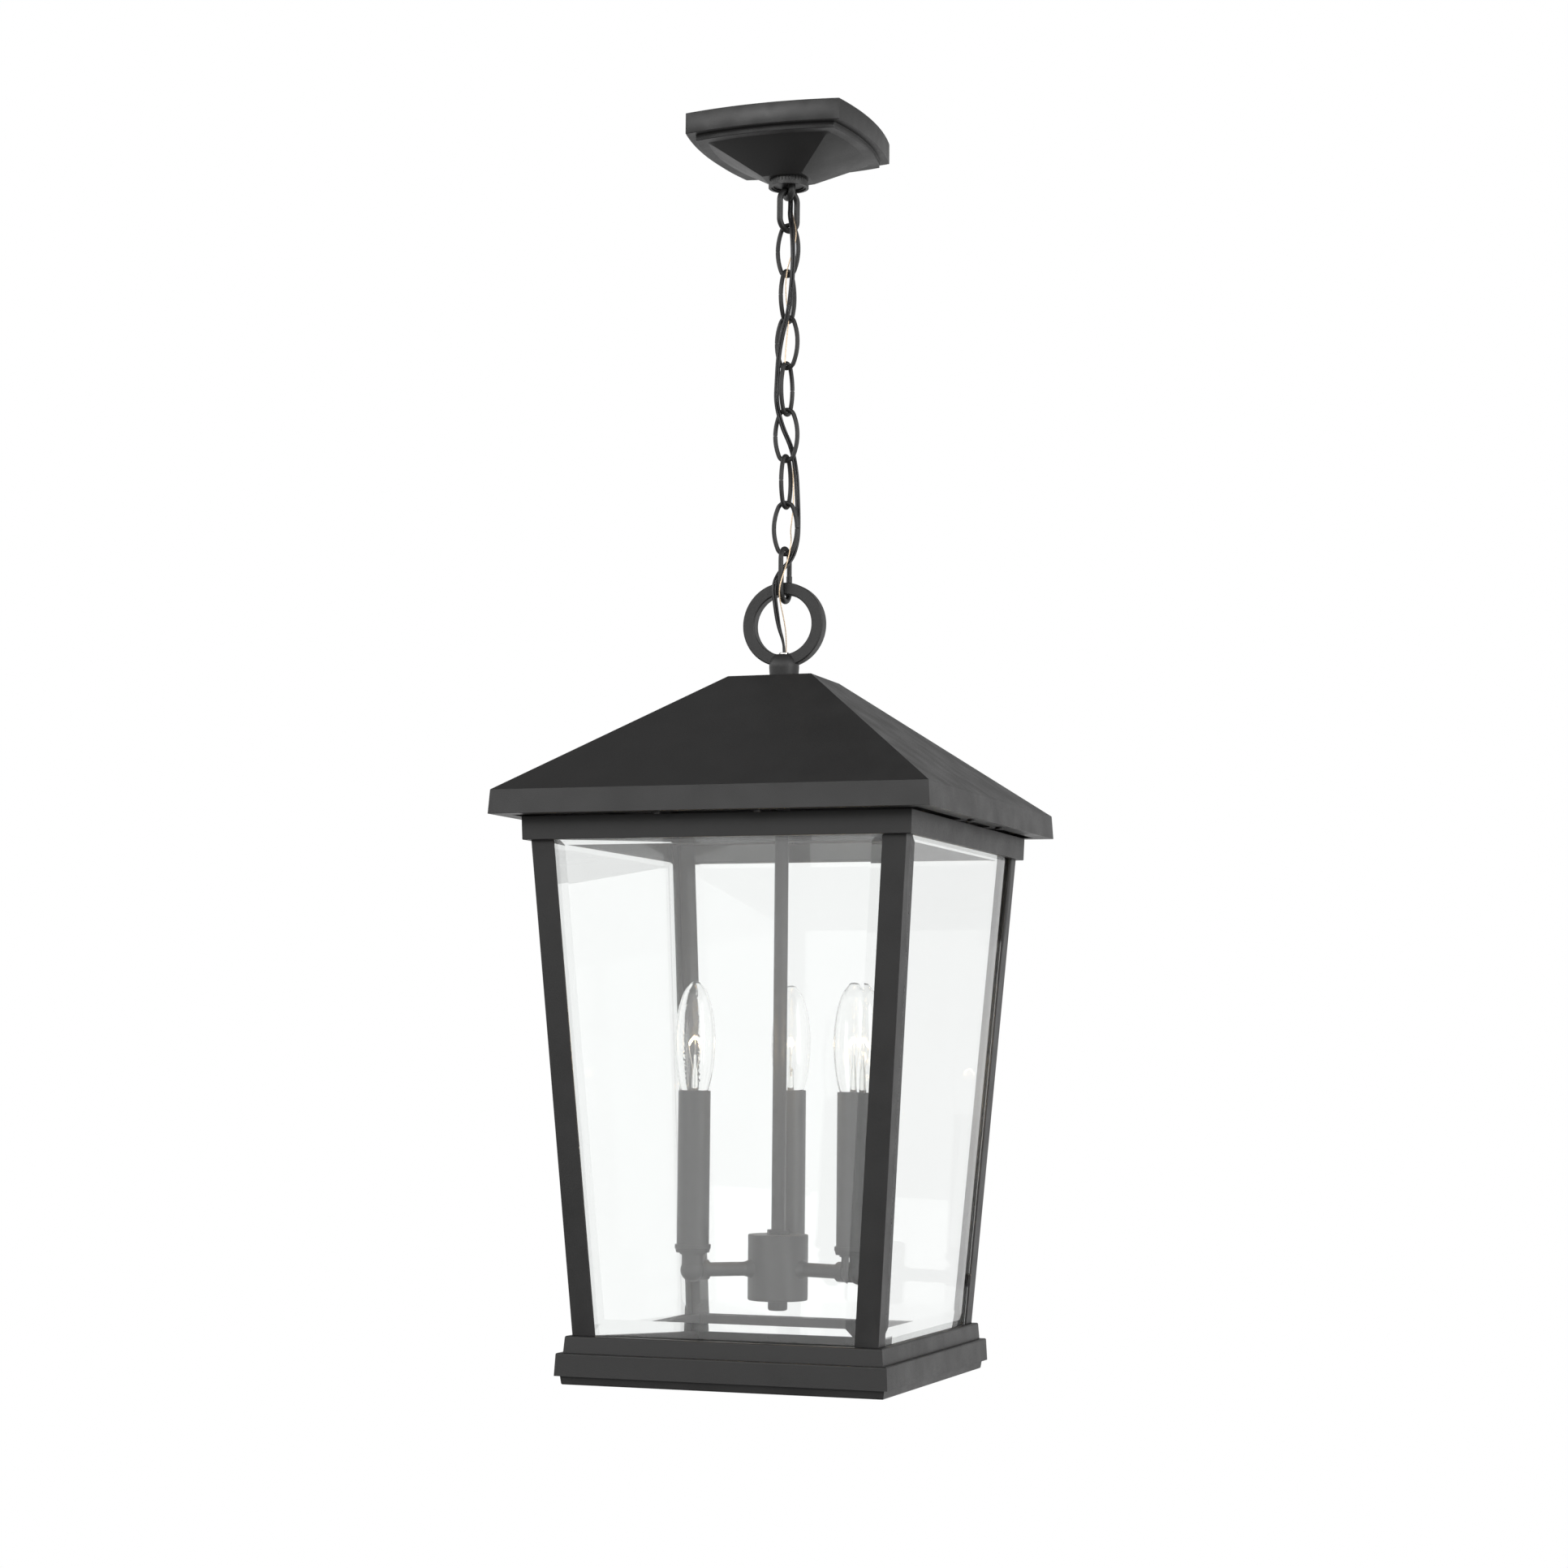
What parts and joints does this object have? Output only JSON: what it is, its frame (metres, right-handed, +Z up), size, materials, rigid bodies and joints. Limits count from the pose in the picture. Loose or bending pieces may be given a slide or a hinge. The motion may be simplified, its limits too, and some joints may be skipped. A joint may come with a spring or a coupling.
{
  "type": "hanging lantern",
  "caption": "Square tapered lantern with a pyramid roof, bevelled glass and a candle cluster, hung from a square ceiling canopy by a link chain.",
  "frame": {"origin": "centre of the canopy's mounting plane at the ceiling, on the chain's axis", "axes": "+Z up along the chain into the ceiling; the broad front pane faces -Y; X runs across it, along the mounting strap"},
  "size_m": [0.33, 0.33, 0.9384],
  "materials": {
    "black_coat": "textured black powder coat",
    "zinc": "plain zinc-plated steel",
    "nickel": "bright nickel bushing",
    "green_screw": "green-dyed steel screw",
    "wire_nut": "moulded plastic cap",
    "cord": "black flexible insulation",
    "bevel_glass": "clear bevelled float glass",
    "sleeve": "black candle sleeve",
    "socket": "moulded lamp socket",
    "bulb_glass": "clear blown glass",
    "brass_shell": "drawn shell of the bulb",
    "filament": "glowing filament and its wires"
  },
  "bodies": {
    "canopy": {"canopy_loop": "black_coat", "canopy_shell": "black_coat", "collar_ring": "black_coat", "cord_canopy": "cord", "crossbar": "zinc", "ground_screw": "green_screw", "nipple_locknut": "zinc", "threaded_nipple": "zinc", "wire_nuts": "wire_nut"},
    "link_1": {"chain_link_1": "black_coat", "cord_link_1": "cord"},
    "link_2": {"chain_link_2": "black_coat", "cord_link_2": "cord"},
    "link_3": {"chain_link_3": "black_coat", "cord_link_3": "cord"},
    "link_4": {"chain_link_4": "black_coat", "cord_link_4": "cord"},
    "link_5": {"chain_link_5": "black_coat", "cord_link_5": "cord"},
    "link_6": {"chain_link_6": "black_coat", "cord_link_6": "cord"},
    "link_7": {"chain_link_7": "black_coat", "cord_link_7": "cord"},
    "link_8": {"chain_link_8": "black_coat", "cord_link_8": "cord"},
    "link_9": {"chain_link_9": "black_coat", "cord_link_9": "cord"},
    "lantern": {"base_frame": "black_coat", "base_screws": "black_coat", "base_trim": "black_coat", "bulb_bases": "brass_shell", "bulb_glass": "bulb_glass", "candle_arms": "black_coat", "candle_cups": "black_coat", "candle_sleeves": "sleeve", "center_stem": "black_coat", "cluster_body": "black_coat", "cluster_bottom_cap": "black_coat", "cluster_top_cap": "black_coat", "cord_lantern": "cord", "filaments": "filament", "finial": "black_coat", "glass_back": "bevel_glass", "glass_clips": "black_coat", "glass_front": "bevel_glass", "glass_left": "bevel_glass", "glass_right": "bevel_glass", "hanging_ring": "black_coat", "post_back_left": "black_coat", "post_back_right": "black_coat", "post_front_left": "black_coat", "post_front_right": "black_coat", "roof_clips": "black_coat", "roof_screws": "black_coat", "roof_shell": "black_coat", "sockets": "socket", "stem_locknuts": "black_coat", "upper_frame": "black_coat", "wire_bushing": "nickel"}
  },
  "joints": [
    {"name": "swing_1", "type": "hinge", "parent": "canopy", "child": "link_1", "pos_m": [0, 0, -0.0535], "axis": [0.7071, -0.7071, 0], "range_deg": [-12, 12], "deforming": ["cord_canopy", "cord_link_1"]},
    {"name": "swing_2", "type": "hinge", "parent": "link_1", "child": "link_2", "pos_m": [0, 0, -0.0793], "axis": [0.4695, 0.8829, 0], "range_deg": [-12, 12], "deforming": ["cord_link_2"]},
    {"name": "swing_3", "type": "hinge", "parent": "link_2", "child": "link_3", "pos_m": [0, 0, -0.11428], "axis": [0.9877, -0.1564, 0], "range_deg": [-12, 12], "deforming": ["cord_link_3"]},
    {"name": "swing_4", "type": "hinge", "parent": "link_3", "child": "link_4", "pos_m": [0, 0, -0.14988], "axis": [0.2756, 0.9613, 0], "range_deg": [-12, 12], "deforming": ["cord_link_4"]},
    {"name": "swing_5", "type": "hinge", "parent": "link_4", "child": "link_5", "pos_m": [0, 0, -0.18548], "axis": [0.9877, -0.1564, 0], "range_deg": [-12, 12], "deforming": ["cord_link_5"]},
    {"name": "swing_6", "type": "hinge", "parent": "link_5", "child": "link_6", "pos_m": [0, 0, -0.22107], "axis": [0.1564, 0.9877, 0], "range_deg": [-12, 12], "deforming": ["cord_link_6"]},
    {"name": "swing_7", "type": "hinge", "parent": "link_6", "child": "link_7", "pos_m": [0, 0, -0.25667], "axis": [1, 0, 0], "range_deg": [-12, 12], "deforming": ["cord_link_7"]},
    {"name": "swing_8", "type": "hinge", "parent": "link_7", "child": "link_8", "pos_m": [0, 0, -0.29228], "axis": [0.0698, 0.9976, 0], "range_deg": [-12, 12], "deforming": ["cord_link_8"]},
    {"name": "swing_9", "type": "hinge", "parent": "link_8", "child": "link_9", "pos_m": [0, 0, -0.32788], "axis": [0.9848, 0.1736, 0], "range_deg": [-12, 12], "deforming": ["cord_link_9"]},
    {"name": "swing_lantern", "type": "hinge", "parent": "link_9", "child": "lantern", "pos_m": [0, 0, -0.3636], "axis": [0.0349, 0.9994, 0], "range_deg": [-12, 12], "deforming": ["cord_lantern"]}
  ]
}
